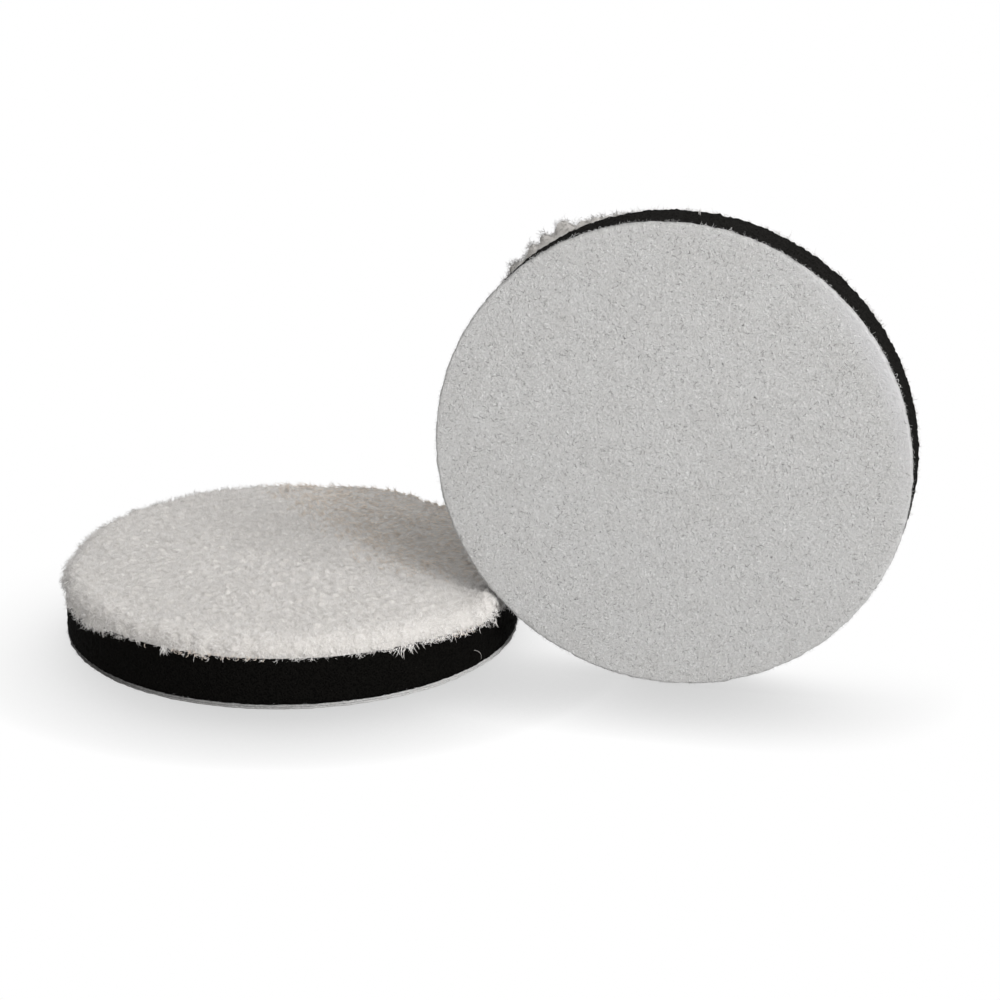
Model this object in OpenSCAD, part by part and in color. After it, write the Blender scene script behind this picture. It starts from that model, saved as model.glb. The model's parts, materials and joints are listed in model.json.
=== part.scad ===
// Round polishing pads for a car polisher, laid out as in the photograph. One pad lies on
// its loop backing with the pile up. Its twin stands on edge beside it with the loops forward.
// Millimetres, +Z up, +X to the photograph's right.
// The origin is the centre of the lying pad's loop face, which rests on the floor.

/* [Foam core] */
// Diameter of the foam core, which the pile cloth shares
foam_d = 133; // [90:0.5:180]
// Thickness of the foam core
foam_h = 13.5; // [6:0.5:25]

/* [Pile face] */
// Thickness of the knitted cloth that carries the pile
pile_cloth_h = 0.8; // [0.4:0.1:2]
// Height of the pile above its cloth at the rim
pile_rim_h = 5.5; // [3:0.5:12]
// Extra height of the pile at the pad's centre
pile_crown_h = 2; // [0:0.5:6]
// Radius of the pile's rounded shoulder
pile_shoulder_r = 4.5; // [1:0.5:8]

/* [Loop backing] */
// Height of the brushed loops that grip the backing plate's hooks
loop_nap_h = 0.8; // [0.4:0.1:2]
// Thickness of the cloth that the loops are knitted into
loop_cloth_h = 0.5; // [0.3:0.1:2]
// How far the loop disc's edge stays inside the foam's wall
loop_inset = 0.5; // [0:0.1:3]

/* [Glue films] */
// Thickness of each glue film
glue_h = 0.2; // [0.1:0.05:0.5]
// How far each glue film's edge stays inside the disc that it bonds
glue_inset = 0.8; // [0.2:0.1:3]

/* [Layout of the pads] */
// Turn of the standing pad's loop face toward the photograph's left, in degrees
stand_turn = 14; // [0:1:30]
// How far the standing pad's loop face is in front of the lying pad's centre
stand_ahead = 20.5; // [0:0.5:40]
// Clear gap between the standing pad's rim and the lying pile's shoulder
pads_gap = 2.4; // [0.5:0.1:20]
// Height of the standing pad's rim above the floor
floor_gap = 0.3; // [0.1:0.1:1]

/* [Hidden] */
$fn = 180;

// Radii of the discs
foam_r = foam_d / 2;
loop_r = foam_r - loop_inset;

// Heights at which the layers start, counted from the loop face
loop_cloth_z = loop_nap_h;
loop_glue_z = loop_cloth_z + loop_cloth_h;
foam_z = loop_glue_z + glue_h;
pile_glue_z = foam_z + foam_h;
pile_cloth_z = pile_glue_z + glue_h;
pile_z = pile_cloth_z + pile_cloth_h;

// The pile's shoulder is a quarter circle that ends where the crown starts
shoulder_r = min(pile_shoulder_r, pile_rim_h);
crown_r = foam_r - shoulder_r;
shoulder_step = 7.5;
crown_rings = 16;

// Place of the standing pad's loop face, before it turns about the origin.
// Seen along that face, the rim and the shoulder are two circles with the gap between them.
stand_z = foam_r + floor_gap;
shoulder_drop = max(0, stand_z - (pile_z + pile_rim_h - shoulder_r));
centre_distance = foam_r + shoulder_r + pads_gap;
stand_x = crown_r + sqrt(pow(centre_distance, 2) - pow(shoulder_drop, 2));

PILE_WHITE = [0.80, 0.78, 0.76];
CLOTH_WHITE = [0.72, 0.71, 0.70];
LOOP_GREY = [0.74, 0.735, 0.725];
FOAM_BLACK = [0.035, 0.035, 0.033];
GLUE_CLEAR = [0.85, 0.84, 0.78];

// One round layer of a pad that starts at height z
module layer(r, h, z) {
    translate([0, 0, z]) cylinder(r = r, h = h);
}

// Height of the crowned pile at radius r, inside the shoulder
function crown_z(r) = pile_rim_h + pile_crown_h * (1 - pow(r / crown_r, 2));

// The fluffy pile as one soft solid: a straight rim, a round shoulder and a low crown
module pile() {
    shoulder = [
        for (a = [0 : shoulder_step : 90 - shoulder_step])
            [crown_r + shoulder_r * cos(a), pile_rim_h - shoulder_r + shoulder_r * sin(a)]
    ];
    crown = [
        for (i = [crown_rings : -1 : 0])
            [crown_r * i / crown_rings, crown_z(crown_r * i / crown_rings)]
    ];
    color(PILE_WHITE)
        translate([0, 0, pile_z])
            rotate_extrude()
                polygon(concat([[0, 0], [foam_r, 0]], shoulder, crown));
}

module pile_cloth() {
    color(CLOTH_WHITE) layer(foam_r, pile_cloth_h, pile_cloth_z);
}

module pile_glue() {
    color(GLUE_CLEAR) layer(foam_r - glue_inset, glue_h, pile_glue_z);
}

module foam() {
    color(FOAM_BLACK) layer(foam_r, foam_h, foam_z);
}

module loop_glue() {
    color(GLUE_CLEAR) layer(loop_r - glue_inset, glue_h, loop_glue_z);
}

module loop_cloth() {
    color(LOOP_GREY) layer(loop_r, loop_cloth_h, loop_cloth_z);
}

module loop_nap() {
    color(LOOP_GREY) layer(loop_r, loop_nap_h, 0);
}

// Stands a pad on its rim beside the lying one, with its loop face forward
module standing() {
    rotate([0, 0, -stand_turn])
        translate([stand_x, -stand_ahead, stand_z])
            rotate([-90, 0, 0])
                children();
}

pile();  // lying_pile
pile_cloth();  // lying_pile_cloth
pile_glue();  // lying_pile_glue
foam();  // lying_foam
loop_glue();  // lying_loop_glue
loop_cloth();  // lying_loop_cloth
loop_nap();  // lying_loop_nap
standing() pile();  // standing_pile
standing() pile_cloth();  // standing_pile_cloth
standing() pile_glue();  // standing_pile_glue
standing() foam();  // standing_foam
standing() loop_glue();  // standing_loop_glue
standing() loop_cloth();  // standing_loop_cloth
standing() loop_nap();  // standing_loop_nap
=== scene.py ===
# %% [markdown]
# # Two polishing pads: fluffy pile, black foam and brushed loops
#
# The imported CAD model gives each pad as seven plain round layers. It is right in size and place,
# but smooth and hard. This script keeps its sizes and makes the looks: over a hundred thousand
# bent fibres for the pile, a fine brushed nap on the loop backing, and open foam between them.
# Each pad is made lying at the origin, and the standing one is then carried to its place.
# Everything is in metres, in the CAD model's own frame.

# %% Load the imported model
import json
import math
import random

import bmesh
import bpy
import numpy as np
from mathutils import Matrix, Vector, noise
from mathutils.bvhtree import BVHTree


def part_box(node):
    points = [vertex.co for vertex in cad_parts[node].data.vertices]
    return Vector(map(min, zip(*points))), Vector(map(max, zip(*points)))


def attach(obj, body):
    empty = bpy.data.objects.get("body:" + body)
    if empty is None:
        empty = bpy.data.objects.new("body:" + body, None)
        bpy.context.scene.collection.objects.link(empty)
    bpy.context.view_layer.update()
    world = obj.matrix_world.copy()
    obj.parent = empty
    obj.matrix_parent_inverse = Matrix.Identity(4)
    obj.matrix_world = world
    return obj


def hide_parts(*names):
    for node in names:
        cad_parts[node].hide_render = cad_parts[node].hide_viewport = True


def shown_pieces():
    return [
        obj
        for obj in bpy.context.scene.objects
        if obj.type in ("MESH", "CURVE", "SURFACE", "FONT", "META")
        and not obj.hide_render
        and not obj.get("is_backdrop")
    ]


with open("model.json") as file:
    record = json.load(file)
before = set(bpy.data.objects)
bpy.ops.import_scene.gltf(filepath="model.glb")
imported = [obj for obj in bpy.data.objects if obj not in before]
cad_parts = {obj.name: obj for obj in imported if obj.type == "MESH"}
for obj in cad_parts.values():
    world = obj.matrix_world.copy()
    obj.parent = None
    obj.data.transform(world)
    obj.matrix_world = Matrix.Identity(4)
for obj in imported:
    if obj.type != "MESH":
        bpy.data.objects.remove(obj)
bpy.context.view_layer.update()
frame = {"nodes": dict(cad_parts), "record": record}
MM = 0.001

# %% [markdown]
# The layers' heights and radii are read from the lying pad's nodes, so that nothing here can
# drift from the CAD model. Its loop face is at z = 0 and its pile points up.

# %% Read the layers
foam_low, foam_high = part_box("lying_foam")
pile_low, pile_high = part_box("lying_pile")
cloth_low, cloth_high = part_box("lying_pile_cloth")
loop_low, loop_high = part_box("lying_loop_cloth")
FOAM_R = foam_high.x
LOOP_R = loop_high.x
PILE_TOP = pile_high.z
PILE_FOOT = pile_low.z
print("foam radius", FOAM_R, "pile from", PILE_FOOT, "to", PILE_TOP)

# %% [markdown]
# ## The camera
#
# The photograph's own camera was found from the outlines of the two discs. A few points of the
# photograph are kept here. They place the few loose hairs that can be seen on the foam, and the
# last cell measures the pieces against them. They settle where the camera stands and aims, and
# later they place the few loose hairs that can be seen on the foam. The top edge is the black
# foam's rim.

# %% Points of the photograph, in its pixels
IMAGE_SIDE = 1000
IMAGE_POINTS = {
    "left_edge": (60, 597),
    "right_edge": (921, 440),
    "top_edge": (680, 210),
    "bottom_edge": (285, 706),
    "loop_face_left": (436, 437),
    "loop_face_right": (914, 470),
    "loop_face_top": (664, 222),
    "loop_face_bottom": (686, 684),
    "lying_wall_left": (66, 625),
    "lying_wall_right": (518, 620),
    "hair_on_foam": (477, 655),
    "fluff_on_rim": (700, 213),
}

# %% Set the camera
LENS, SENSOR = 105.1, 36.0
CAMERA_AT = Vector((0.0660, -0.8022, 0.3239))
CAMERA_AIM = Vector((0.0609, 0.0218, 0.0300))


def add_object(name, data):
    """A new object, linked to the scene."""
    made = bpy.data.objects.new(name, data)
    bpy.context.scene.collection.objects.link(made)
    return made


camera_data = bpy.data.cameras.new("photo_camera")
camera_data.lens = LENS
camera_data.sensor_width = SENSOR
camera_data.sensor_fit = "AUTO"
camera = add_object("photo_camera", camera_data)
camera.location = CAMERA_AT
camera.rotation_euler = (CAMERA_AIM - CAMERA_AT).to_track_quat("-Z", "Y").to_euler()
bpy.context.scene.camera = camera
bpy.context.view_layer.update()
print("camera looks down by", round(math.degrees(math.pi / 2 - camera.rotation_euler.x), 2), "degrees")

# %% Go from pixels to places and back
SEARCH_FROM, SEARCH_STEP, SEARCH_STEPS = 0.6, 0.002, 300


def ray_through(x, y):
    """The start and direction, in the shared frame, of the camera's ray through a pixel."""
    side = IMAGE_SIDE
    across = x - side / 2 + camera_data.shift_x * side
    up = side / 2 - y + camera_data.shift_y * side
    local = Vector((across, up, -side * LENS / SENSOR))
    turn = camera.matrix_world.to_3x3()
    return camera.matrix_world.translation.copy(), (turn @ local).normalized()


def pixels_of(points):
    """Where points of the shared frame show in the photograph, in pixels."""
    to_camera = np.array(camera.matrix_world.inverted())
    local = np.asarray(points, float) @ to_camera[:3, :3].T + to_camera[:3, 3]
    scale = IMAGE_SIDE * LENS / SENSOR / -local[:, 2]
    x = IMAGE_SIDE * (0.5 - camera_data.shift_x) + local[:, 0] * scale
    y = IMAGE_SIDE * (0.5 + camera_data.shift_y) - local[:, 1] * scale
    return np.stack([x, y], 1)


def place_on(tree, name):
    """The point of a surface that an image point's ray meets, or the place nearest the ray."""
    start, direction = ray_through(*IMAGE_POINTS[name])
    place, normal, _, _ = tree.ray_cast(start, direction)
    if place is None:
        steps = [start + direction * (SEARCH_FROM + SEARCH_STEP * i) for i in range(SEARCH_STEPS)]
        place, normal, _, _ = min((tree.find_nearest(p) for p in steps), key=lambda hit: hit[3])
    return place, normal


# %% [markdown]
# ## Where the two pads are
#
# Every builder below makes its piece for the lying pad. The standing pad's piece is the same
# work with other random draws, carried over by one matrix. The matrix comes from the packed
# record, which says where the standing pad's loop face is and which way it looks.

# %% Work out the standing pad's place
mounts = {m["name"]: m for m in frame["record"]["mounts"]}
face_at = Vector(mounts["standing_loop_face"]["pos_m"])
face_out = Vector(mounts["standing_loop_face"]["axis"])
pad_z = -face_out
pad_x = Vector((0, 0, 1)).cross(face_out).normalized()
pad_y = pad_z.cross(pad_x)
standing_place = Matrix.Translation(face_at) @ Matrix((pad_x, pad_y, pad_z)).transposed().to_4x4()
print("standing loop face at", tuple(face_at), "facing", tuple(face_out))

# %% [markdown]
# No two pads have the same pile, so each one also lists what the photograph shows on it alone.
# A direction is in degrees round the pad from its own x axis, so that on the lying pad -90
# faces the camera. Widths of directions are in degrees, and lengths are in millimetres.
#
# - spread: how far the whole edge of the pile has crept out, or in where it is below 0
# - locks: how far single locks of the edge stand out and in
# - bulges and sags, as (direction, width, amount): where the edge stands out, or hangs lower
# - swells, as (x, y, width, rise): where the top of the pile rises or sinks
# - wisps, as (direction, width, length, count, share of dim ones): strands that hang on the foam
# - loop_wisps, as (direction, width, length): where the edge of the loops is frayed
# - pressed and edge_shade, as (direction, width, strength): marks near the edge of the loop face; the
#   second is painted shade

# %% List what is different on each pad
PADS = {
    "lying": {
        "place": Matrix.Identity(4),
        "body": "lying_pad",
        "seed": 11,
        "spread": 0.0,
        "locks": 0.6,
        "sags": [(-146, 11, 2.2)],
        "bulges": [(-38, 24, 1.9), (-34, 6.5, 2.8), (-150, 12, 0.9), (-157, 3, 0.9),
                   (-163, 1.6, -0.6), (-170, 3, 0.7)],
        "swells": [(8, 57, 7, -1.2), (38, 46, 9, -1.5), (-11, 58, 2.4, 0.9), (-5, 59, 2.0, 1.2),
                   (-64, 5, 9, -1.6), (56, -33, 6, 2.4), (61, -39, 5, 1.6)],
        "wisps": [(-118, 0.5, 2.4, 30, 0.0), (-106, 6, 2.8, 60, 0.8), (-58, 2.0, 3.6, 24, 0.1),
                  (-51, 1.0, 2.4, 9, 0.2), (-43, 3, 2.8, 30, 0.5), (-33, 1, 2.4, 8, 0.0)],
        "loop_wisps": [],
        "pressed": [],
        # painted shade where the loop edge meets the floor, mostly at the left
        "edge_shade": [(-150, 38, 1.0), (-98, 24, 0.3)],
    },
    "standing": {
        "place": standing_place,
        "body": "standing_pad",
        "seed": 47,
        "spread": -1.2,
        "locks": 0.4,
        "sags": [],
        "bulges": [(-124, 18, 2.5), (-112.4, 1.2, 0.6), (-120, 1.5, 2.5), (-125.4, 1.1, 1.5),
                   (-129, 1.1, 1.7), (-136, 1.4, 1.6)],
        "swells": [],
        "wisps": [],
        "loop_wisps": [(-60, 6, 1.2), (-22, 5, 1.2), (-78, 6, 1.3), (-112, 13, 1.3), (-40, 30, 0.3)],
        "pressed": [(-27, 26, 1.0)],
        "edge_shade": [],
    },
}
for name, pad in PADS.items():
    print(name, "pad:", len(pad["bulges"]), "bulges,", len(pad["swells"]), "swells")

# %% [markdown]
# Two helpers do what every piece needs. `finish_piece` turns a bmesh into an object whose place
# is in its mesh, and says which body it rides on. `lathe` spins an outline round the pad's axis,
# which is how every round layer starts.
#
# Real pile is a cloud of fibres far finer than any strand here, and light passes softly through
# it. To look so, a strand is shaded mostly by the pile's own smooth surface and only a little
# by its own sides. On the pile's edge, where it rolls over, the strands count for more.

# %% Helpers for all pieces
FLOOR_GAP = 0.05 * MM
MERGE_WITHIN = 0.002 * MM
SOFTNESS, FIRMER_AT_EDGE = 0.88, 0.4
ROLL_FROM, ROLL_WIDTH, FIRM_WIDTH = 0.86, 0.14, 0.10
ROLL_OUT, ROLL_DOWN = 0.7, 0.6


def keep_off_floor(mesh):
    """Presses flat whatever would reach below the floor, as the pad's own weight does."""
    places = np.empty(len(mesh.vertices) * 3)
    mesh.vertices.foreach_get("co", places)
    places = places.reshape(-1, 3)
    places[:, 2] = np.maximum(places[:, 2], FLOOR_GAP)
    mesh.vertices.foreach_set("co", places.ravel())
    mesh.update()


def soften_normals(mesh, pad):
    """Bends the strands' shading normals most of the way to those of the pile's own surface."""
    count = len(mesh.vertices)
    places, own = np.empty(count * 3), np.empty(count * 3)
    mesh.vertices.foreach_get("co", places)
    mesh.vertex_normals.foreach_get("vector", own)
    into_pad = np.array(pad["place"].inverted())
    local = places.reshape(-1, 3) @ into_pad[:3, :3].T + into_pad[:3, 3]
    reach = np.hypot(local[:, 0], local[:, 1])
    side = ROLL_OUT * np.clip((reach / FOAM_R - ROLL_FROM) / ROLL_WIDTH, 0, 1) ** 2
    rising = 1.0 - ROLL_DOWN * side
    pile = np.stack([local[:, 0] / reach * side, local[:, 1] / reach * side, rising], 1)
    pile = pile / np.linalg.norm(pile, axis=1)[:, None] @ into_pad[:3, :3]
    firmer = FIRMER_AT_EDGE * np.clip((reach / FOAM_R - ROLL_FROM) / FIRM_WIDTH, 0, 1)
    soft = SOFTNESS * (1 - firmer)[:, None]
    mesh.normals_split_custom_set_from_vertices(soft * pile + (1 - soft) * own.reshape(-1, 3))


def finish_piece(bm, pad_name, kind, slot, material, soft=False):
    """Turns a bmesh into this kind of piece of a pad. It replaces the solid of its slot."""
    pad = PADS[pad_name]
    mesh = bpy.data.meshes.new(f"{pad_name}_{kind}")
    bm.to_mesh(mesh)
    bm.free()
    mesh.transform(pad["place"])
    keep_off_floor(mesh)
    mesh.materials.append(material)
    mesh.shade_smooth()
    if soft:
        soften_normals(mesh, pad)
    piece = add_object(mesh.name, mesh)
    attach(piece, pad["body"])
    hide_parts(f"{pad_name}_{slot}")
    triangles = sum(len(face.vertices) - 2 for face in mesh.polygons)
    print(f"{piece.name}: {len(mesh.vertices)} points, {triangles} triangles")
    return piece


def lathe(outline, steps):
    """Spins an outline of (radius, height) points, which starts and ends on the axis."""
    bm = bmesh.new()
    points = [bm.verts.new((r, 0, z)) for r, z in outline]
    edges = [bm.edges.new(pair) for pair in zip(points, points[1:])]
    bmesh.ops.spin(
        bm, geom=points + edges, cent=(0, 0, 0), axis=(0, 0, 1), dvec=(0, 0, 0),
        angle=2 * math.pi, steps=steps, use_merge=True,
    )
    bmesh.ops.remove_doubles(bm, verts=bm.verts, dist=MERGE_WITHIN)
    bmesh.ops.recalc_face_normals(bm, faces=bm.faces)
    return bm


def stations(start, end, count):
    """Evenly spaced values from start to end, both included."""
    return [start + (end - start) * i / count for i in range(count + 1)]


def rough(place, size, seed, octaves=3):
    """Smooth random height from about -1 to 1, with bumps of this size, in metres."""
    return noise.fractal(Vector(place) / size + Vector((seed, seed * 0.7, 0)), 0.8, 2.0, octaves)


# %% [markdown]
# ## Materials
#
# All patterns are noise in Object coordinates, in metres, so a scale of 1000 makes features of
# about a millimetre. Fibres carry their own UV map instead: its u is a shade of the strand and
# its v runs from root to tip, so one material can vary the strands and grade each one's length.

# %% Material helpers
STRAND_UV = "strand"
BLACK, WHITE = (0, 0, 0), (1, 1, 1)


def grey(level):
    """A neutral colour."""
    return (level, level, level)


def add_node(tree, kind, **inputs):
    """A shader node of this kind. Its inputs are set by their names."""
    node = tree.nodes.new("ShaderNode" + kind)
    for name, value in inputs.items():
        node.inputs[name].default_value = value
    return node


def new_material(name, roughness, sheen=0.0):
    """A Principled material, its node tree and its shader."""
    material = bpy.data.materials.new(name)
    material.use_nodes = True
    tree = material.node_tree
    shader = tree.nodes["Principled BSDF"]
    shader.inputs["Roughness"].default_value = roughness
    shader.inputs["Specular IOR Level"].default_value = 0.3
    shader.inputs["Sheen Weight"].default_value = sheen
    shader.inputs["Sheen Roughness"].default_value = 0.5
    return material, tree, shader


def add_noise(tree, scale, detail=3.0, roughness=0.6, distortion=0.0):
    """A noise texture in Object coordinates. Returns its value socket."""
    place = add_node(tree, "TexCoord")
    texture = add_node(
        tree, "TexNoise", Scale=scale, Detail=detail, Roughness=roughness, Distortion=distortion,
    )
    tree.links.new(place.outputs["Object"], texture.inputs["Vector"])
    return texture.outputs["Fac"]


def add_ramp(tree, factor, stops):
    """A colour ramp over a factor. Each stop is a position and an RGB colour."""
    ramp = add_node(tree, "ValToRGB")
    while len(ramp.color_ramp.elements) < len(stops):
        ramp.color_ramp.elements.new(0.5)
    for element, (position, colour) in zip(ramp.color_ramp.elements, stops):
        element.position = position
        element.color = (*colour, 1)
    tree.links.new(factor, ramp.inputs["Fac"])
    return ramp.outputs["Color"]


def mix_colours(tree, first, second, blend_type="MIX"):
    """A colour mix node of two colours. Its factor is set or linked by the caller."""
    mix = add_node(tree, "Mix")
    mix.data_type = "RGBA"
    mix.blend_type = blend_type
    tree.links.new(first, mix.inputs[6])
    tree.links.new(second, mix.inputs[7])
    return mix


def multiply(tree, first, second):
    """One colour times another."""
    mix = mix_colours(tree, first, second, "MULTIPLY")
    mix.inputs["Factor"].default_value = 1.0
    return mix.outputs[2]


def blend(tree, share, first, second):
    """The first colour, turning into the second as share goes from 0 to 1."""
    mix = mix_colours(tree, first, second)
    tree.links.new(share, mix.inputs["Factor"])
    return mix.outputs[2]


def add_bump(tree, shader, height, distance):
    """Bump from a height socket. The distance is in metres."""
    bump = add_node(tree, "Bump", Distance=distance, Strength=1.0)
    tree.links.new(height, bump.inputs["Height"])
    tree.links.new(bump.outputs["Normal"], shader.inputs["Normal"])


def fibre_material(name, root, tip, shades, sheen):
    """Fibres that are graded from root to tip, with each strand in its own shade."""
    material, tree, shader = new_material(name, 0.8, sheen)
    along = add_node(tree, "UVMap")
    along.uv_map = STRAND_UV
    parts = add_node(tree, "SeparateXYZ")
    tree.links.new(along.outputs["UV"], parts.inputs["Vector"])
    length = add_ramp(tree, parts.outputs["Y"], [(0.0, root), (0.75, tip)])
    shade = add_ramp(tree, parts.outputs["X"], shades)
    tree.links.new(multiply(tree, length, shade), shader.inputs["Base Color"])
    return material


# %% [markdown]
# Most strands of the pile draw a shade from 0.3 up, pale grey to white; the few near 0.3 are darker,
# painted shade of fine creases. Shades below 0.25 are kept for the brushed patch at the back right
# and for the dim ends that hang on the foam: there the photograph is browner and streaky. On the
# brushed patch the brown is partly the nap's own look and partly painted shade, for the standing
# pad's shadow and the warm light bounced between fibres. The ground between the strands is painted
# darker than they are, as painted shade in the gaps. That sets how strongly the tufts stand out
# from each other.

# %% Pile finishes
# The stop at 0.3 gives a few darker strands: painted shade of the fine creases between strands.
PILE_SHADES = [(0.0, (0.60, 0.56, 0.515)), (0.11, (0.97, 0.875, 0.78)), (0.2, (1.0, 0.925, 0.84)),
               (0.3, (0.80, 0.785, 0.77)), (0.42, (0.96, 0.955, 0.95)), (1.0, WHITE)]
# The pile's strands are painted lighter at the root than at the tip: painted light deep in the pile
# and painted shade on the tips, to offset the shade and highlights from the lamps.
pile_fibre = fibre_material(
    "pile_fibre", (0.88, 0.86, 0.838), (0.82, 0.80, 0.78), PILE_SHADES, sheen=0.0,
)

# Painted shade: the ground between the strands is painted darker than they are, for the shade in the
# gaps.
pile_ground, tree, shader = new_material("pile_ground", 0.9, sheen=0.2)
clumps = add_ramp(
    tree, add_noise(tree, 450, detail=4),
    [(0.3, (0.57, 0.545, 0.515)), (0.7, (0.71, 0.685, 0.655))],
)
tree.links.new(clumps, shader.inputs["Base Color"])
add_bump(tree, shader, add_noise(tree, 1400, detail=5, distortion=0.6), 0.5 * MM)
print("pile:", pile_fibre.name, "and", pile_ground.name)

# %% [markdown]
# Open foam is a maze of dark cells between thin bright walls, so its colour and its bump come
# from the same cell pattern. Dyed black, it throws back about one percent of the light or less.
# Toward the standing pad's top the wall is painted a little paler: a painted sheen where the rim's top
# catches the light.

# %% Foam finish
CELLS_PER_METRE = 1900
PORE, CELL_WALL = grey(0.0002), (0.0045, 0.0042, 0.0037)
# Painted sheen: paler cells higher up, where the standing pad's rim catches the light.
SHEEN_PORE, SHEEN_WALL = grey(0.0005), (0.013, 0.0124, 0.0115)
SHEEN_FROM, SHEEN_FULL = 0.03, 0.13

foam_black, tree, shader = new_material("foam_black", 0.9)
shader.inputs["Specular IOR Level"].default_value = 0.02
place = add_node(tree, "TexCoord")
pores = add_node(tree, "TexVoronoi", Scale=CELLS_PER_METRE)
tree.links.new(place.outputs["Object"], pores.inputs["Vector"])
height = add_node(tree, "SeparateXYZ")
tree.links.new(place.outputs["Object"], height.inputs["Vector"])
cells = add_ramp(tree, pores.outputs["Distance"], [(0.1, PORE), (0.6, CELL_WALL)])
sheened_cells = add_ramp(tree, pores.outputs["Distance"], [(0.1, SHEEN_PORE), (0.6, SHEEN_WALL)])
# Painted sheen, growing with height, stands in for the light on the standing pad's rim.
painted_sheen = add_ramp(tree, height.outputs["Z"], [(SHEEN_FROM, BLACK), (SHEEN_FULL, WHITE)])
tree.links.new(blend(tree, painted_sheen, cells, sheened_cells), shader.inputs["Base Color"])
add_bump(tree, shader, pores.outputs["Distance"], 0.25 * MM)
print("foam:", foam_black.name)

# %% [markdown]
# The loop face is grey-white with dark flecks where one looks between the loops: painted shade.
# Where it is pressed the flecks are gone. Near the lying pad's loop edge, at its left, it is painted
# much darker, as painted shade where that edge meets the floor. The discs carry both marks as point
# attributes.

# %% Loop finishes
# The darkest loop shades and the darkest flecks are painted shade, where one looks between the loops.
LOOP_FIBRE_SHADES = [(0.0, (0.32, 0.315, 0.31)), (0.14, (0.46, 0.455, 0.45)), (0.2, grey(0.72)),
                     (0.6, grey(0.8)), (1.0, WHITE)]
FLECKS = [(0.30, (0.16, 0.157, 0.154)), (0.41, (0.52, 0.517, 0.511)),
          (0.58, (0.60, 0.597, 0.590)), (0.72, (0.80, 0.797, 0.79))]
PRESSED_LOOPS = [(0.3, (0.585, 0.58, 0.585)), (0.7, (0.62, 0.615, 0.62))]
# Painted shade: the colour the loop edge is darkened to where it meets the floor.
EDGE_SHADE = (0.12, 0.117, 0.114)

loop_fibre = fibre_material(
    "loop_fibre", (0.67, 0.667, 0.66), (0.80, 0.796, 0.79), LOOP_FIBRE_SHADES, sheen=0.1,
)

loop_ground, tree, shader = new_material("loop_ground", 0.9, sheen=0.15)
blotches = add_ramp(tree, add_noise(tree, 90, detail=4), [(0.3, (0.95, 0.945, 0.94)), (0.7, WHITE)])
flecks = add_ramp(tree, add_noise(tree, 1500, detail=4, roughness=0.7, distortion=1.0), FLECKS)
marks = {}
for mark in ("pressed", "edge_shade"):
    attribute = add_node(tree, "Attribute")
    attribute.attribute_name = mark
    marks[mark] = attribute.outputs["Fac"]
smooth = add_ramp(tree, add_noise(tree, 300), PRESSED_LOOPS)
loops = blend(tree, marks["pressed"], multiply(tree, blotches, flecks), smooth)
# Painted shade at the lying pad's loop edge, read from the discs' attribute.
without_edge_shade = add_ramp(tree, marks["edge_shade"], [(0.0, WHITE), (1.0, EDGE_SHADE)])
tree.links.new(multiply(tree, loops, without_edge_shade), shader.inputs["Base Color"])
add_bump(tree, shader, add_noise(tree, 1100, detail=5, distortion=1.5), 0.5 * MM)
print("loops:", loop_fibre.name, "and", loop_ground.name)

# %% [markdown]
# The pile cloth's knit and the two glue films hardly show. The glue films are the CAD model's
# own solids, and only get a material here.

# %% Knit and glue finishes
knit_ground, tree, shader = new_material("knit_ground", 0.9, sheen=0.1)
yarn = add_ramp(
    tree, add_noise(tree, 2200, detail=2), [(0.3, (0.5, 0.49, 0.48)), (0.7, (0.68, 0.67, 0.655))],
)
tree.links.new(yarn, shader.inputs["Base Color"])

glue_film, tree, shader = new_material("glue_film", 0.45)
resin = add_ramp(
    tree, add_noise(tree, 160), [(0.3, (0.74, 0.72, 0.64)), (0.7, (0.84, 0.83, 0.77))],
)
tree.links.new(resin, shader.inputs["Base Color"])
for pad_name in PADS:
    for layer in ("_pile_glue", "_loop_glue"):
        mesh = frame["nodes"][pad_name + layer].data
        mesh.materials.clear()
        mesh.materials.append(glue_film)
print("materials:", [m.name for m in bpy.data.materials if m.users])

# %% [markdown]
# ## The foam core
#
# The real core is punched out of a sheet of open foam, so its wall is straight but never smooth:
# the cut goes through thousands of small cells. The wall is spun from an outline with many
# stations, and each point is then pushed in or out a little by noise of the cells' size.

# %% Make the foam cores
WALL_ROWS, WALL_STEPS = 16, 560
CELL, CELL_DEPTH = 1.1 * MM, 0.4 * MM
FLAT_R = 0.9 * FOAM_R
ROUGH_FROM = 0.95 * FOAM_R


def make_foam(pad_name, pad):
    """The foam core, with a wall that is rough from the cut cells."""
    wall = [(FOAM_R - CELL_DEPTH, z) for z in stations(foam_low.z, foam_high.z, WALL_ROWS)]
    base = [(0, foam_low.z), (FLAT_R, foam_low.z)]
    top = [(FLAT_R, foam_high.z), (0, foam_high.z)]
    bm = lathe([*base, *wall, *top], WALL_STEPS)
    for v in bm.verts:
        reach = math.hypot(v.co.x, v.co.y)
        if reach > ROUGH_FROM:
            v.co.xy *= 1 + CELL_DEPTH * rough(v.co, CELL, pad["seed"]) / reach
    piece = finish_piece(bm, pad_name, "foam_core", "foam", foam_black)
    return piece


cores = {name: make_foam(name, pad) for name, pad in PADS.items()}

# %% [markdown]
# ## Pile cloth, loop cloth and loop nap
#
# These are thin discs of knit. Only their edges and the nap's face can be seen. The edges wander
# by a fraction of a millimetre, as cut cloth does.
#
# The photograph shows two marks near the edge of the loop faces: loops that are pressed flat,
# and a dark rim at the lying pad's left, which is painted shade. Each point of a disc gets the
# strength of both marks, from the directions listed for its pad.

# %% Helpers for directions and marks
MARKS = {"pressed": (6 * MM, 2 * MM), "edge_shade": (3 * MM, 0.8 * MM)}


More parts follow.
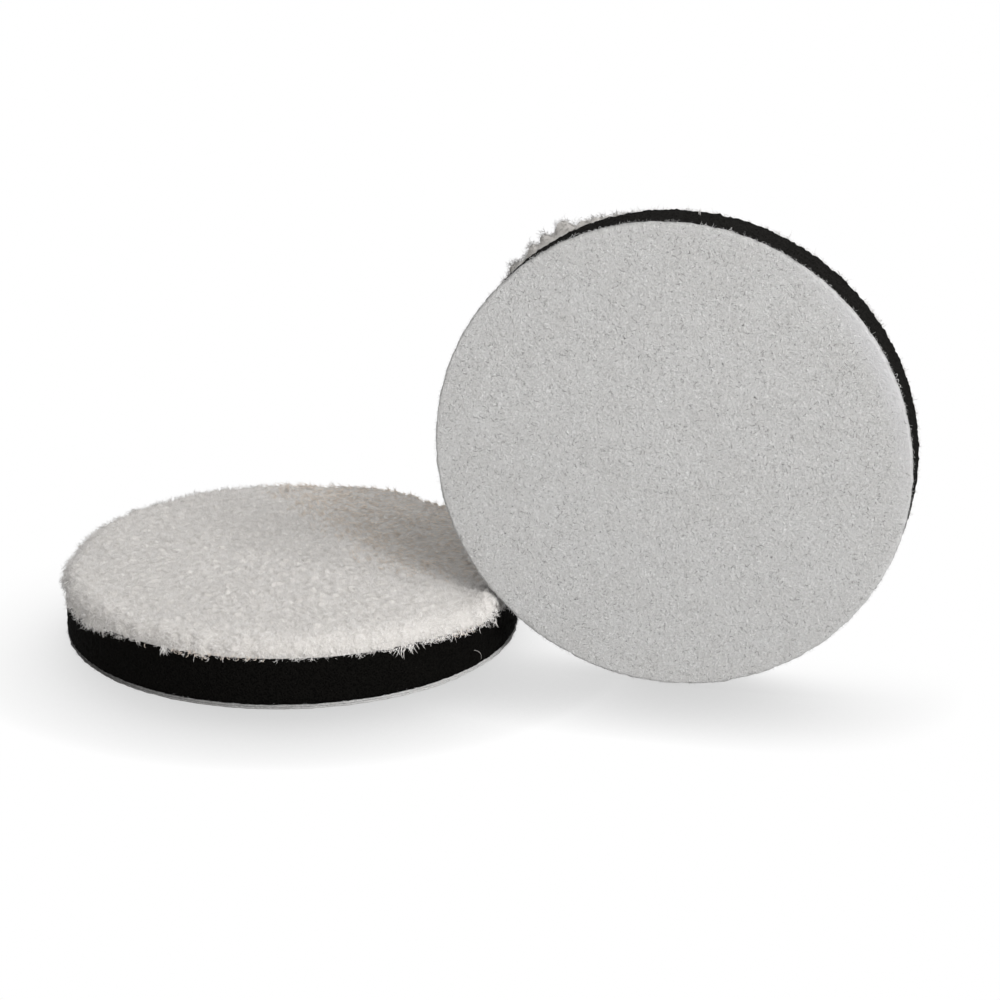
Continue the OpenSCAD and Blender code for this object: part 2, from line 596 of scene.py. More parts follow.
def soft_step(value, low, high):
    """0 below low, 1 above high and a smooth rise between."""
    share = min(1.0, max(0.0, (value - low) / (high - low)))
    return share * share * (3 - 2 * share)


def sum_at(way, humps):
    """The height, at a direction in degrees, of humps given as (direction, width, height)."""
    total = 0.0
    for middle, width, height in humps:
        apart = (way - middle + 180) % 360 - 180
        total += height * math.exp(-(apart / width) ** 2)
    return total


def mark_at(place, pad, mark):
    """How pressed the loops are here, or how much painted shade their edge gets, from 0 to 1. MARKS
    says how far in from the edge.
    """
    reach = math.hypot(place[0], place[1])
    begins, full = MARKS[mark]
    near_edge = sum_at(math.degrees(math.atan2(place[1], place[0])), pad[mark])
    return min(1.0, near_edge) * soft_step(reach, LOOP_R - begins, LOOP_R - full)


# %% Make the cloth discs
EDGE_STEPS = 420
RING_INSETS = (40, 10, 8, 6, 4, 2, 0.6)
EDGE_SHARE = 0.15
WANDER_SIZE = 3 * MM
KNIT_INSET = 0.9


def make_disc(pad_name, kind, radius, low, high, wander, slot, material):
    """A thin disc whose edge wanders, with rings close enough together to carry the marks."""
    pad = PADS[pad_name]
    rings = [(radius - inset * MM, low) for inset in RING_INSETS]
    bevel = EDGE_SHARE * (high - low)
    rim = [(radius, low + bevel), (radius, high - bevel), (radius - 1.0 * MM, high)]
    bm = lathe([(0, low), *rings, *rim, (radius * 0.5, high), (0, high)], EDGE_STEPS)
    for v in bm.verts:
        reach = math.hypot(v.co.x, v.co.y)
        if reach > radius - 0.5 * MM:
            v.co.xy *= 1 + wander * rough(v.co, WANDER_SIZE, pad["seed"] + 5) / reach
    marks = {mark: [mark_at(v.co, pad, mark) for v in bm.verts] for mark in MARKS}
    piece = finish_piece(bm, pad_name, kind, slot, material)
    for mark, values in marks.items():
        piece.data.attributes.new(mark, "FLOAT", "POINT").data.foreach_set("value", values)
    return piece


for pad_name, pad in PADS.items():
    knit_r = FOAM_R - (KNIT_INSET - pad["spread"]) * MM
    discs = {
        "pile_knit": (knit_r, cloth_low.z, cloth_high.z, 0.15 * MM, "pile_cloth", knit_ground),
        "loop_ground": (LOOP_R + 0.2 * MM, loop_low.z, loop_high.z, 0.2 * MM,
                        "loop_cloth", loop_ground),
        "loop_face": (LOOP_R + 0.1 * MM, 0.0, loop_low.z, 0.35 * MM, "loop_nap", loop_ground),
    }
    for kind, facts in discs.items():
        piece = make_disc(pad_name, kind, *facts)

# %% [markdown]
# ## The body of the pile
#
# Under the tips the real pile is a dense mat. A crowned cushion a little inside the CAD solid
# stands for it. Its edge rolls over the cut pile cloth and hides it, as the pile's does. Domes
# of noise make it as clumpy as cotton wool, and low swells make its back edge uneven.

# %% Describe the pile's surface
SHOULDER = 5.0 * MM
CROWN = 2.0 * MM
MAT_DEPTH = 0.9 * MM
EDGE_IN = 0.4 * MM
LIP_OUT, LIP_DROP, LIP_TUCK = 0.1 * MM, 0.1 * MM, 0.6 * MM
SWELL_SIZE, SWELL_HEIGHT = 22 * MM, 0.35 * MM
LOCK_SIZE = 3.5 * MM
SAG_HEIGHT = 3 * MM
CLUMP_SIZE, CLUMP_HEIGHT, CLUMP_MIDDLE = 3.3 * MM, 0.9 * MM, 0.6
FUZZ_SIZE, FUZZ_HEIGHT = 1.5 * MM, 0.15 * MM


def pile_outline(inset, crown_steps=76, shoulder_steps=10, lip_steps=6):
    """(radius, height) points of the pile's surface, from the centre to its lip, set in by inset."""
    flat_r = FOAM_R - SHOULDER
    points = []
    for r in stations(0, flat_r, crown_steps):
        points.append((r, PILE_TOP - CROWN * (r / flat_r) ** 2 - inset))
    bend = SHOULDER - inset
    out = bend + inset + LIP_OUT - EDGE_IN
    middle = PILE_TOP - CROWN - SHOULDER
    for turn in stations(0, math.pi / 2, shoulder_steps)[1:]:
        points.append((flat_r + out * math.sin(turn), middle + bend * math.cos(turn)))
    drop = middle - (foam_high.z - LIP_DROP)
    for turn in stations(0, math.pi / 2, lip_steps)[1:]:
        tuck = LIP_TUCK * (1 - math.cos(turn))
        points.append((flat_r + out - tuck, middle - drop * math.sin(turn)))
    return points


def swell(place, pad):
    """How far the pile rises or sinks here, in metres."""
    height = SWELL_HEIGHT * rough((place[0], place[1], 0), SWELL_SIZE, pad["seed"], 2)
    for x, y, width, rise in pad["swells"]:
        away = math.hypot(place[0] - x * MM, place[1] - y * MM) / (width * MM)
        height += rise * MM * math.exp(-away * away)
    return height


def drift(place, pad):
    """How far the pile's edge has crept out or in, and sagged, here. Its middle stays put."""
    reach = math.hypot(place[0], place[1])
    edge = soft_step(reach, 0.75 * FOAM_R, 0.97 * FOAM_R)
    way = math.degrees(math.atan2(place[1], place[0]))
    outward = Vector((place[0], place[1], 0)) / max(reach, MM)
    creep = pad["spread"]
    creep += sum_at(way, pad["bulges"])
    creep += pad["locks"] * rough(outward * FOAM_R, LOCK_SIZE, pad["seed"] + 60, 2)
    sag = sum_at(way, pad["sags"]) * soft_step(PILE_FOOT + SAG_HEIGHT - place[2], 0, SAG_HEIGHT)
    return (outward * creep * edge - Vector((0, 0, sag))) * MM


def hang_at(place):
    """How much longer the pile's edge hangs at the left and right of a pad than at its front."""
    across = abs(place[0]) / max(math.hypot(place[0], place[1]), MM)
    return 0.85 + 0.6 * soft_step(across, 0.55, 0.95)


def clump(place, size, seed):
    """0 in the creases between clumps of this size, 1 on their tops."""
    distances, _ = noise.voronoi(Vector(place) / size + Vector((seed, 0, 0)))
    return min(1.0, 1.6 * (distances[1] - distances[0]))


def lump(place, pad):
    """The height of the pile's clumps here, with a little fuzz on them."""
    return (CLUMP_HEIGHT * (clump(place, CLUMP_SIZE, pad["seed"]) - CLUMP_MIDDLE)
            + FUZZ_HEIGHT * rough(place, FUZZ_SIZE, pad["seed"]))


def on_pile(place, normal, pad):
    """Where a point of the plain outline goes on the finished pile."""
    return (place + normal * lump(place, pad) + drift(place, pad)
            + Vector((0, 0, swell(place, pad))))


print("the pile's outline has", len(pile_outline(MAT_DEPTH)), "points")

# %% Make the mats
MAT_STEPS = 480
MOVES_PAST, MOVES_ABOVE = FOAM_R - 0.5 * MM, PILE_FOOT + 1.5 * MM


def make_mat(pad_name, pad):
    """The dense body of the pile, closed below by a cone that nothing shows."""
    foot = [(FOAM_R - 0.6 * MM, foam_high.z + 0.2 * MM), (0, PILE_FOOT)]
    bm = lathe([*pile_outline(MAT_DEPTH), *foot], MAT_STEPS)
    bm.normal_update()
    goals = []
    for v in bm.verts:
        if math.hypot(v.co.x, v.co.y) > MOVES_PAST or v.co.z > MOVES_ABOVE:
            goals.append((v, on_pile(v.co, v.normal, pad)))
    for v, goal in goals:
        v.co = goal
    piece = finish_piece(bm, pad_name, "pile_mat", "pile", pile_ground)


for pad_name, pad in PADS.items():
    make_mat(pad_name, pad)

# %% [markdown]
# ## Tufts
#
# One strand is a three-sided cone, cut once across and curled over, which costs 7 faces. Nine
# strands that curl roughly the same way make a tuft. A few different tufts are made once, and
# copies of them are then stood all over the mat, each turned, sized and leaned in its own way.
# The tips curl back down, because a washed microfibre pile ends in curls and not in spikes.
# Strands that are seen one by one, such as those on the black foam, are cut more often.

# %% Helpers for strands and tufts
TIP_THINS, WAVE_TURN = 0.45, 4.2


def add_strand(bm, length, width, curl, wave, lean, turn, root, shade, cuts):
    """A three-sided strand that stands on root and curls over by an angle, with its UV maps."""
    verts = bmesh.ops.create_cone(
        bm, cap_ends=True, segments=3, radius1=width / 2, radius2=0, depth=length
    )["verts"]
    bmesh.ops.translate(bm, verts=verts, vec=(0, 0, length / 2))
    for share in cuts:
        edges = {e for v in verts for e in v.link_edges}
        faces = {f for v in verts for f in v.link_faces}
        cut = bmesh.ops.bisect_plane(
            bm, geom=verts + list(edges | faces), plane_co=(0, 0, share * length), plane_no=(0, 0, 1),
        )
        verts += [g for g in cut["geom_cut"] if isinstance(g, bmesh.types.BMVert)]
    for face in {f for v in verts for f in v.link_faces}:
        for corner, loop in enumerate(face.loops):
            place = (shade + 0.01 * corner, loop.vert.co.z / length)
            for uv in bm.loops.layers.uv.values():
                loop[uv].uv = place
    for v in verts:
        s = v.co.z / length
        fuller = (1 - TIP_THINS * s) / max(1 - s, 0.1)
        side, turned = v.co.x * fuller, curl * s
        v.co.x = length / curl * (1 - math.cos(turned)) + side * math.cos(turned)
        v.co.y = v.co.y * fuller + wave * math.sin(WAVE_TURN * s)
        v.co.z = length / curl * math.sin(turned) - side * math.sin(turned)
    bmesh.ops.rotate(bm, verts=verts, matrix=Matrix.Rotation(lean, 3, "Y"))
    bmesh.ops.rotate(bm, verts=verts, matrix=Matrix.Rotation(turn, 3, "Z"))
    bmesh.ops.translate(bm, verts=verts, vec=root)


def new_strand_bmesh():
    """An empty bmesh with the strands' own UV map and a second one for baking."""
    bm = bmesh.new()
    bm.loops.layers.uv.new(STRAND_UV)
    bm.loops.layers.uv.new("OFBake")
    return bm


def to_mesh(bm, name):
    """A bmesh as a mesh without an object, to be copied from."""
    shape = bpy.data.meshes.new(name)
    bm.to_mesh(shape)
    bm.free()
    return shape


def make_tufts(count, strands, draw, spread, length, width, curl, wave, lean, turn,
               shade=(0.3, 0.95), cuts=(0.5,)):
    """Meshes of a few different tufts. Each range is (lowest, highest)."""
    shapes = []
    for number in range(count):
        bm = new_strand_bmesh()
        for _ in range(strands):
            root = (spread * draw.uniform(-1, 1), spread * draw.uniform(-1, 1), 0)
            add_strand(bm, draw.uniform(*length), draw.uniform(*width), draw.uniform(*curl),
                       draw.uniform(*wave), draw.uniform(*lean), draw.uniform(*turn), root,
                       draw.uniform(*shade), cuts)
        shapes.append(to_mesh(bm, f"tuft_{number}"))
    return shapes


# %% Make the pile's tufts
LOOSE_CURLS = {
    "spread": 1.0 * MM, "length": (1.2 * MM, 2.2 * MM), "width": (0.10 * MM, 0.15 * MM),
    "curl": (0.9, 3.0), "wave": (-0.3 * MM, 0.3 * MM), "lean": (-0.6, 0.6), "turn": (-1.8, 1.8),
}
BRUSHED_CURLS = {
    "spread": 0.8 * MM, "length": (1.5 * MM, 2.6 * MM), "width": (0.11 * MM, 0.17 * MM),
    "curl": (0.5, 1.5), "wave": (-0.3 * MM, 0.3 * MM), "lean": (-0.2, 0.6), "turn": (-0.8, 0.8),
}
STRANDS_IN_TUFT = 9

draw = random.Random(5)
pile_tufts = make_tufts(18, STRANDS_IN_TUFT, draw, **LOOSE_CURLS)
shaded_tufts = make_tufts(10, STRANDS_IN_TUFT, draw, **BRUSHED_CURLS, shade=(0.0, 0.25))
print("one tuft has", len(pile_tufts[0].polygons), "faces")

# %% [markdown]
# The copies' places come from one golden-angle spiral over the pile's surface. It gives each
# tuft the same share of the surface, and a little jitter hides the spiral.
#
# The lying pad's pile is brushed to the left at its back right, beside the standing pad. There
# the tufts lie flat, all the same way, and most of them are the shaded ones, darker and warmer,
# partly in painted shade.

# %% Helpers for places and directions
GOLDEN = math.pi * (3 - math.sqrt(5))
JITTER_ROUND, JITTER_OUT = 1.8 * MM, 1.4 * MM
NAP_PATCH, NAP_LEAN, EDGE_LEAN = 11 * MM, 1.1, 0.5
BRUSHED_LEAN = -2.4


def surface_places(outline, count, draw):
    """count places spread evenly over a surface of revolution: (position, normal)."""
    rings = []
    for (r0, z0), (r1, z1) in zip(outline, outline[1:]):
        rings.append((math.hypot(r1 - r0, z1 - z0) * (r0 + r1) * math.pi, r0, z0, r1, z1))
    total = sum(ring[0] for ring in rings)
    places, ring_index, passed = [], 0, 0.0
    for i in range(count):
        target = total * (i + 0.5) / count
        while passed + rings[ring_index][0] < target and ring_index < len(rings) - 1:
            passed += rings[ring_index][0]
            ring_index += 1
        area, r0, z0, r1, z1 = rings[ring_index]
        share = (target - passed) / area
        flat_here = z0 - z1 < r1 - r0
        angle = GOLDEN * i + draw.uniform(-0.5, 0.5) * JITTER_ROUND / max(r0, MM)
        r = r0 + (r1 - r0) * share + draw.uniform(-0.5, 0.5) * JITTER_OUT * flat_here
        z = z0 + (z1 - z0) * share
        slope = Vector((z0 - z1, 0, r1 - r0)).normalized()
        turn = Matrix.Rotation(angle, 3, "Z")
        places.append((turn @ Vector((r, 0, z)), turn @ slope))
    return places


def nap_lean(place, pad_name, seed):
    """Which way the pile is brushed here, as a sideways vector, and how strongly, from 0 to 1."""
    x = rough(place, NAP_PATCH, seed + 20, 2)
    y = rough(place, NAP_PATCH, seed + 31, 2)
    reach = math.hypot(place.x, place.y)
    outward = Vector((place.x, place.y, 0)) / max(reach, MM)
    lean = Vector((x, y, 0)) * NAP_LEAN
    lean += outward * EDGE_LEAN * soft_step(reach, 0.8 * FOAM_R, FOAM_R)
    if pad_name != "lying":
        return lean, 0.0
    brushed = (soft_step(place.x + 0.5 * place.y, 10 * MM, 42 * MM)
               * soft_step(place.y, -26 * MM, -4 * MM))
    return lean * (1 - brushed) + Vector((BRUSHED_LEAN, 0.4 * y, 0)) * brushed, brushed


def stand_at(place, direction, spin, size, toward=None):
    """The matrix that stands a tuft at place, along direction, bent toward a side and then spun."""
    if toward is None or toward.length < 1e-6:
        turn = direction.to_track_quat("Z", "Y").to_matrix()
    else:
        y = direction.cross(toward).normalized()
        turn = Matrix((y.cross(direction), y, direction)).transposed()
    return (Matrix.Translation(place) @ turn.to_4x4()
            @ Matrix.Rotation(spin, 4, "Z") @ Matrix.Diagonal((*size, 1)))


def stamp(bm, shape, matrix):
    """Adds a moved copy of a mesh to a bmesh."""
    copy = shape.copy()
    copy.transform(matrix)
    bm.from_mesh(copy)
    bpy.data.meshes.remove(copy)


# %% Stand the tufts on the mat
TUFTS = {"lying": 8600, "standing": 6600}
TUFT_SLICES = 4
ROOT_DEPTH = MAT_DEPTH + 0.4 * MM
HANGING_HEIGHT = 2.5 * MM


def add_tuft(bm, place, normal, pad_name, pad, draw):
    """Stands one tuft on the pile, given its place and normal on the plain outline."""
    shade = draw.random()
    place = on_pile(place, normal, pad)
    lean, brushed = nap_lean(place, pad_name, pad["seed"])
    near_edge = soft_step(math.hypot(place.x, place.y), 0.88 * FOAM_R, 0.97 * FOAM_R)
    loose = 1 - 0.75 * brushed + 0.5 * near_edge
    jitter = Vector((draw.gauss(0, 0.3), draw.gauss(0, 0.3), draw.gauss(0, 0.1))) * loose
    hanging = soft_step(PILE_FOOT + HANGING_HEIGHT - place.z, 0, HANGING_HEIGHT)
    direction = normal * (1 - 0.5 * hanging) + lean + jitter - Vector((0, 0, 1.1 * hanging))
    tall = draw.uniform(0.8, 1.15) * (1 + hanging * (hang_at(place) - 1))
    wide = draw.uniform(0.85, 1.2)
    spin = draw.gauss(0, 1.7) * loose
    # Most tufts in the brushed patch are the shaded ones: their darker, warmer colour is partly
    # painted shade.
    tuft = draw.choice(shaded_tufts if shade < 1.3 * brushed else pile_tufts)
    stamp(bm, tuft, stand_at(place, direction.normalized(), spin, (wide, wide, tall), lean))


def make_pile(pad_name, pad):
    """All tufts of a pad, in a few pieces of one size."""
    draw = random.Random(pad["seed"])
    count = TUFTS[pad_name]
    places = surface_places(pile_outline(ROOT_DEPTH), count, draw)
    for part in range(TUFT_SLICES):
        bm = new_strand_bmesh()
        for place, normal in places[part * count // TUFT_SLICES:(part + 1) * count // TUFT_SLICES]:
            add_tuft(bm, place, normal, pad_name, pad, draw)
        finish_piece(bm, pad_name, f"pile_tufts_{part + 1}", "pile", pile_fibre, soft=True)


for pad_name, pad in PADS.items():
    make_pile(pad_name, pad)

# %% [markdown]
# ## Fringe over the foam
#
# Where the pile cloth was cut round, its outer strands splay out and hang over the foam's top
# edge. Single strands around the rim do this. Where the photograph shows longer bundles on the
# black foam, the pad's wisps add them: nearly straight strands, some of them dim.

# %% Make single strands
SINGLE = {
    "spread": 0, "length": (2.0 * MM, 3.2 * MM), "width": (0.14 * MM, 0.20 * MM),
    "curl": (0.6, 3.2), "wave": (-0.5 * MM, 0.5 * MM), "lean": (0.0, 0.2), "turn": (0, 0),
    "cuts": (0.35, 0.7),
}
DARK = {**SINGLE, "width": (0.16 * MM, 0.24 * MM), "shade": (0.0, 0.13)}
STRAIGHT = {**SINGLE, "curl": (0.2, 1.1), "wave": (-0.3 * MM, 0.3 * MM)}
CURLY = {
    **SINGLE, "length": (1.8 * MM, 3.4 * MM), "curl": (2.4, 5.0), "wave": (-0.3 * MM, 0.3 * MM),
    "lean": (0.0, 0.3), "cuts": (0.2, 0.4, 0.6, 0.8),
}
MEAN_LENGTH_MM = 2.6

draw = random.Random(8)
single_strands = make_tufts(14, 1, draw, **SINGLE)
dark_strands = make_tufts(6, 1, draw, **DARK)
straight_strands = make_tufts(10, 1, draw, **STRAIGHT)
curly_strands = make_tufts(10, 1, draw, **CURLY)
print("a curly strand has", len(curly_strands[0].polygons), "faces")

# %% Make the fringe
FRINGE = 1500
FULL_TURN = 6.283


def frame_at(angle):
    """The outward and the sideways direction at an angle round the pad."""
    outward = Vector((math.cos(angle), math.sin(angle), 0))
    return outward, Vector((-outward.y, outward.x, 0))


def add_single(bm, strands, place, direction, width, tall, draw):
    """Stands one of these strands at a place, spun at random."""
    strand = draw.choice(strands)
    spin = draw.uniform(0, FULL_TURN)
    stamp(bm, strand, stand_at(place, direction.normalized(), spin, (width, width, tall)))


def make_fringe(pad_name, pad):
    """The strands that hang over the foam's top edge, all round and in the pad's wisps."""
    draw = random.Random(pad["seed"] + 1)
    bm = new_strand_bmesh()
    for i in range(FRINGE):
        outward, sideways = frame_at(2 * math.pi * (i + draw.random()) / FRINGE)
        thick = 0.5 + 0.25 * rough(outward * FOAM_R, 6 * MM, pad["seed"] + 9, 2)
        place = outward * (FOAM_R - draw.uniform(0.2, 1.0) * MM)
        place.z = foam_high.z + draw.uniform(0.3, 2.4) * MM
        place += drift(place, pad)
        side = sideways * draw.gauss(0, 0.55)
        direction = outward * draw.uniform(0.4, 1.0) + side + Vector((0, 0, draw.uniform(-1.6, -0.4)))
        tall = draw.uniform(0.35, 0.9) * thick * hang_at(place)
        add_single(bm, single_strands, place, direction, 0.7, tall, draw)
    for way, width, length, count, dim in pad["wisps"]:
        for _ in range(count):
            outward, sideways = frame_at(math.radians(draw.gauss(way, width)))
            place = outward * (FOAM_R + draw.uniform(-0.4, 0.3) * MM)
            place.z = foam_high.z + draw.uniform(0.0, 1.2) * MM
            place += drift(place, pad)
            side = sideways * draw.gauss(0, 0.6)
            direction = outward * draw.uniform(0.1, 0.45) + side - Vector((0, 0, 1))
            tall = length / MEAN_LENGTH_MM * draw.uniform(0.5, 1.1)
            strands = dark_strands if draw.random() < dim else straight_strands
            add_single(bm, strands, place, direction, 0.8, tall, draw)
    finish_piece(bm, pad_name, "pile_fringe", "pile", pile_fibre, soft=True)


for pad_name, pad in PADS.items():
    make_fringe(pad_name, pad)

# %% [markdown]
# ## Stray hair
#
# A pad sheds a little. One long hair has fallen on the lying pad's foam and a scrap of fluff
# sits on the standing pad's rim. Each is put where the photograph's point meets the foam.

# %% Put the stray hair and fluff on the foam
STRAY_CUTS = (0.12, 0.24, 0.36, 0.48, 0.6, 0.72, 0.86)


def put_stray(point, pad_name, strands, length, width, curl, spread):
    """Lays one hair, or a scrap of many strands, on the foam where an image point meets it."""
    pad = PADS[pad_name]
    many = strands > 1
    bend = 0 if many else length / 3
    surface = BVHTree.FromObject(cores[pad_name], bpy.context.evaluated_depsgraph_get())
    place, normal = place_on(surface, point)
    draw = random.Random(pad["seed"] + 7)
    bm = new_strand_bmesh()
    for _ in range(strands):
        root = (spread * draw.uniform(-1, 1) - bend, spread * draw.uniform(-1, 1), -length / 3)
        add_strand(bm, length, width, curl * draw.uniform(0.8, 1.2), -0.05 * length, 0,
                   draw.uniform(0, FULL_TURN) * many, root, draw.uniform(0.4, 0.9), STRAY_CUTS)
    sideways = Vector((0, 0, 1)).cross(normal).normalized()
    down = sideways.cross(normal)
    lifted = place + normal * 0.25 * MM
    bm.transform(pad["place"].inverted() @ stand_at(lifted, sideways, 0, (1, 1, 1), down))
    return finish_piece(bm, pad_name, point, "pile", pile_fibre)


strays = {
    "hair_on_foam": put_stray("hair_on_foam", "lying", 1, 6.2 * MM, 0.1 * MM, 1.9, 0),
    "fluff_on_rim": put_stray("fluff_on_rim", "standing", 26, 1.1 * MM, 0.16 * MM, 2.2, 0.6 * MM),
}

# %% [markdown]
# ## Brushed loops
#
# The loop face is brushed: the loops lie almost flat and cross each other at random. Each is one
# low arch, half sunk in the face, and a ring of short strands fuzzes its edge. Where the loops
# are pressed flat there are no arches. Where the edge is frayed its fuzz is long and curly.

# %% Make the loops
# Five of the arches are dark: painted shade between the loops.
LOOP_SHADES = [(0.0, 0.13)] * 5 + [(0.25, 0.6)] * 8 + [(0.75, 0.98)] * 11


def make_arches(draw):
    """Single low arches in dark, middling and pale shades, as often as in the photograph; the dark
    ones are painted shade between the loops.
    """
    shapes = []
    for number, shades in enumerate(LOOP_SHADES):
        bm = new_strand_bmesh()
        length = draw.uniform(0.7, 1.6) * MM
        width = draw.uniform(0.15, 0.24) * MM
        curl, wave = draw.uniform(0.5, 2.4), draw.uniform(-0.04, 0.04) * MM
        add_strand(bm, length, width, curl, wave, 0, math.pi / 2, (0, 0, -length / 2),
                   draw.uniform(*shades), cuts=(0.35, 0.7))
        shapes.append(to_mesh(bm, f"arch_{number}"))
    return shapes


arches = make_arches(random.Random(21))
print("made", len(arches), "arches of", len(arches[0].polygons), "faces")

# %% Lay the loops on the faces
FACE_LOOPS = {"lying": 3000, "standing": 8400}
EDGE_FUZZ = {"lying": 900, "standing": 1900}
LONG_FUZZ = 0.35


def make_nap(pad_name, pad):
    """The loops of a pad's face and the fuzz round its edge."""
    draw = random.Random(pad["seed"] + 3)
    bm = new_strand_bmesh()
    lay = Matrix.Rotation(math.pi / 2, 4, "Y")
    for i in range(FACE_LOOPS[pad_name]):
        r = (LOOP_R - 0.6 * MM) * math.sqrt((i + 0.5) / FACE_LOOPS[pad_name])
        angle = GOLDEN * i + draw.uniform(-0.3, 0.3)
        place = Vector((r * math.cos(angle), r * math.sin(angle), -0.01 * MM))
        if draw.random() < mark_at(place, pad, "pressed"):
            continue
        turn = Matrix.Rotation(draw.uniform(0, FULL_TURN), 4, "Z")
        stamp(bm, draw.choice(arches), Matrix.Translation(place) @ turn @ lay)
    for i in range(EDGE_FUZZ[pad_name]):
        angle = 2 * math.pi * (i + draw.random()) / EDGE_FUZZ[pad_name]
        outward, sideways = frame_at(angle)
        place = outward * LOOP_R
        place.z = draw.uniform(0.15, 1.2) * MM
        side = sideways * draw.gauss(0, 0.9)
        direction = outward + side + Vector((0, 0, draw.uniform(-0.1, 1.0)))
        longer = sum_at(math.degrees(angle), pad["loop_wisps"]) * draw.random() ** 3
        tall = draw.uniform(0.2, 0.45) + longer
        strands = curly_strands if longer > LONG_FUZZ else single_strands
        # Where the loop edge gets painted shade, its fuzz is dark strands, painted shade as well.
        if draw.random() < sum_at(math.degrees(angle), pad["edge_shade"]):
            strands = dark_strands
        add_single(bm, strands, place, direction, 0.6, tall, draw)
    finish_piece(bm, pad_name, "loop_fibres", "loop_nap", loop_fibre)


for pad_name, pad in PADS.items():
    make_nap(pad_name, pad)

# %% [markdown]
# ## Floor, background and light
#
# The floor is white to the camera and a plain pale grey to everything else, so that it doesn't
# flood the pads with light. Its soft shadow comes from how much of the sky the pads hide.

# %% Make the floor
FLOOR_RADIUS = 4.0
bm = bmesh.new()
bmesh.ops.create_circle(bm, cap_ends=True, segments=96, radius=FLOOR_RADIUS)
floor_mesh = to_mesh(bm, "studio_floor")
floor = add_object("studio_floor", floor_mesh)
floor.location.z = -0.02 * MM
floor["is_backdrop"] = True

# %% Make the floor's material
SHADOW_TILT = math.radians(75)
SHADOW_REACH = 0.04
FLOOR_GREY = 0.75
SHADOW = [(0.4, 0.63), (0.5, 0.68), (0.6, 0.73), (0.7, 0.80), (0.8, 0.87), (0.9, 0.935), (1.0, 1.0)]

floor_white = bpy.data.materials.new("floor_white")
floor_white.use_nodes = True
tree = floor_white.node_tree
tree.nodes.clear()
output = add_node(tree, "OutputMaterial")
matt = add_node(tree, "BsdfDiffuse", Color=(*grey(FLOOR_GREY), 1))
seen = add_node(tree, "Emission")
hidden_sky = add_node(tree, "AmbientOcclusion", Distance=SHADOW_REACH)
hidden_sky.samples = 16
light_from = add_node(tree, "CombineXYZ", Y=math.sin(SHADOW_TILT), Z=math.cos(SHADOW_TILT))
tree.links.new(light_from.outputs["Vector"], hidden_sky.inputs["Normal"])
shadow = add_ramp(tree, hidden_sky.outputs["AO"], [(sky, grey(level)) for sky, level in SHADOW])
tree.links.new(shadow, seen.inputs["Color"])


def seen_directly(tree):
    """A socket: 1 for camera rays and for rays that a mirror or glass sends on, else 0."""
    path = add_node(tree, "LightPath")
    total = path.outputs["Is Camera Ray"]
    for name in ("Is Glossy Ray", "Is Transmission Ray"):
        add = add_node(tree, "Math")
        add.operation = "MAXIMUM"
        tree.links.new(total, add.inputs[0])
        tree.links.new(path.outputs[name], add.inputs[1])
        total = add.outputs["Value"]
    return total


def show_directly(tree, for_light, for_eye, output):
    """Lets one shader light the pads and another be seen."""
    mix = add_node(tree, "MixShader")
    tree.links.new(seen_directly(tree), mix.inputs["Fac"])
    tree.links.new(for_light, mix.inputs[1])
    tree.links.new(for_eye, mix.inputs[2])
    tree.links.new(mix.outputs["Shader"], output.inputs["Surface"])


show_directly(tree, matt.outputs["BSDF"], seen.outputs["Emission"], output)
floor_mesh.materials.append(floor_white)
print("floor:", FLOOR_RADIUS, "m in radius, grey", FLOOR_GREY)

# %% [markdown]
# The sky gives a weak even light. Most of it comes from round lamps in front and to the right,
# as in the photograph, where the standing pad throws the back of the lying one into shade. One
# broad lamp behind keeps the hidden sides readable. Each lamp is listed as its turn to the
# front from the right, its height, both in degrees, its size in metres and its power in watts.

# %% Light the pads
SKY = 0.13
PADS_MIDDLE = Vector((0.05, 0, 0.03))

world = bpy.data.worlds.new("studio")
world.use_nodes = True
bpy.context.scene.world = world
tree = world.node_tree
background = tree.nodes["Background"]
white = add_node(tree, "Background", Color=(1, 1, 1, 1))
background.inputs["Color"].default_value = (1.0, 0.99, 0.98, 1)
background.inputs["Strength"].default_value = SKY
show_directly(tree, background.outputs["Background"], white.outputs["Background"],
              tree.nodes["World Output"])
print("sky:", SKY, "for light, 1 for the camera")


# %% Hang the lamps
def add_lamp(name, away, size, power):
    """A round area lamp in a direction from the pads' middle, and aimed at it."""
    data = bpy.data.lights.new(name, "AREA")
    data.shape = "DISK"
    data.size = size
    data.energy = power
    lamp = add_object(name, data)
    lamp.location = PADS_MIDDLE + away * LAMP_RANGE
    lamp.rotation_euler = (PADS_MIDDLE - lamp.location).to_track_quat("-Z", "Y").to_euler()


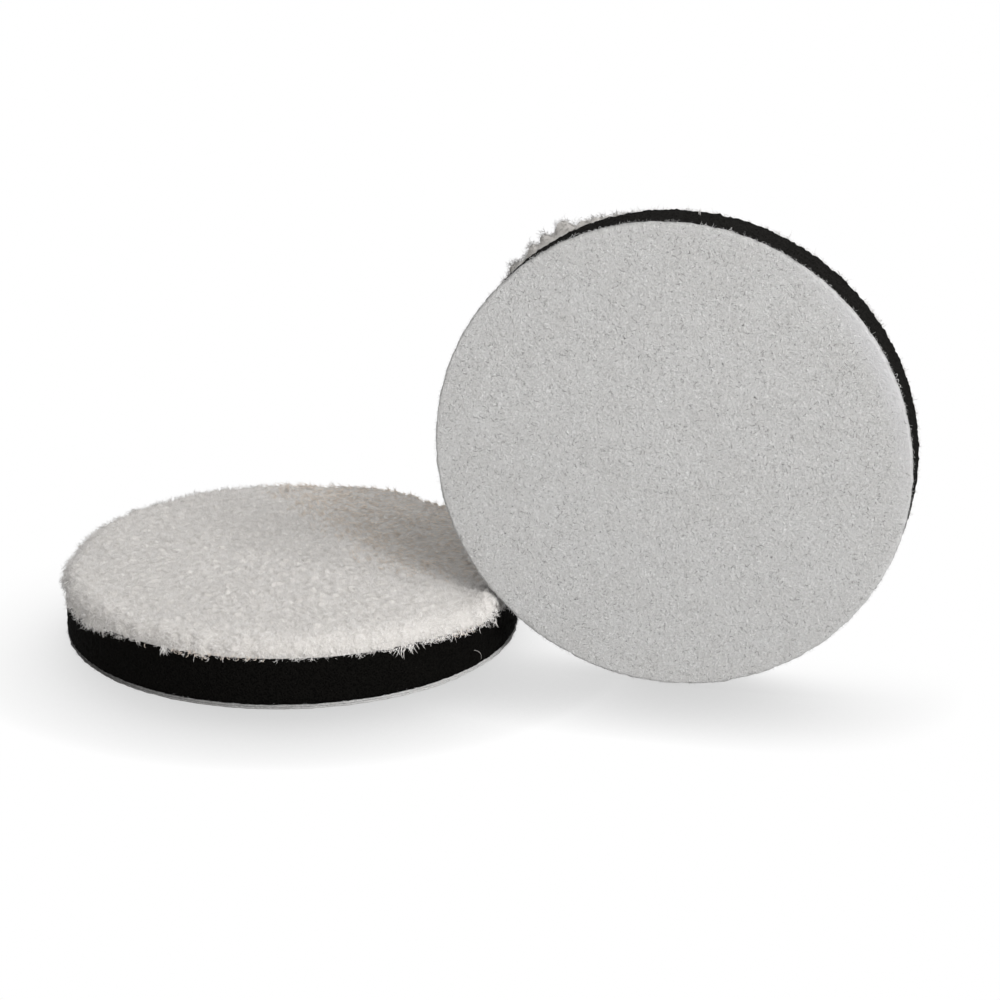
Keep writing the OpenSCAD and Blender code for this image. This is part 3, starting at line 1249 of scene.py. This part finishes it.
LAMP_RANGE = 2.4
LAMPS = {
    "right_lamp": (30, 42, 0.44, 8.8),
    "low_lamp": (45, 15, 0.44, 12.2),
    "key_lamp": (60, 42, 0.48, 16.5),
    "middle_lamp": (75, 42, 0.48, 10.3),
    "front_lamp": (90, 28, 0.48, 10.2),
    "wide_lamp": (45, 28, 1.40, 5.3),
    "back_lamp": (-90, 55, 1.00, 17.0),
}
for name, (turn, height, size, power) in LAMPS.items():
    turn, height = math.radians(turn), math.radians(height)
    flat = math.cos(height)
    away = Vector((math.cos(turn) * flat, -math.sin(turn) * flat, math.sin(height)))
    add_lamp(name, away, size, power)
bpy.context.scene.view_settings.view_transform = "Standard"
print("lamps:", ", ".join(LAMPS))

# %% [markdown]
# ## Measure
#
# The last cell finds where the finished pieces lie against the photograph's points. The left,
# right and bottom edges count every vertex. The top edge counts the foam's rim alone, so it
# leaves out the standing pile's hair tips. They reach several pixels higher, and with them the top
# edge would be more than 5 pixels from its point.

# %% Measure the image points
shown = {}
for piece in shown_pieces():
    places = np.empty(len(piece.data.vertices) * 3)
    piece.data.vertices.foreach_get("co", places)
    shown[piece.name] = pixels_of(places.reshape(-1, 3))
everything = np.concatenate(list(shown.values()))
face = shown["standing_loop_face"]
wall = shown["lying_foam_core"]
rim = shown["standing_foam_core"]
LEAST_X, MOST_X, LEAST_Y, MOST_Y = (0, min), (0, max), (1, min), (1, max)
sides = {
    "left_edge": (everything, LEAST_X), "right_edge": (everything, MOST_X),
    "top_edge": (rim, LEAST_Y), "bottom_edge": (everything, MOST_Y),
    "loop_face_left": (face, LEAST_X), "loop_face_right": (face, MOST_X),
    "loop_face_top": (face, LEAST_Y), "loop_face_bottom": (face, MOST_Y),
    "lying_wall_left": (wall, LEAST_X), "lying_wall_right": (wall, MOST_X),
}
found = {}
for name, (points, (axis, pick)) in sides.items():
    found[name] = [None, None]
    found[name][axis] = pick(points[:, axis])
for name, piece in strays.items():
    ends = shown[piece.name]
    found[name] = (ends.min(0) + ends.max(0)) / 2
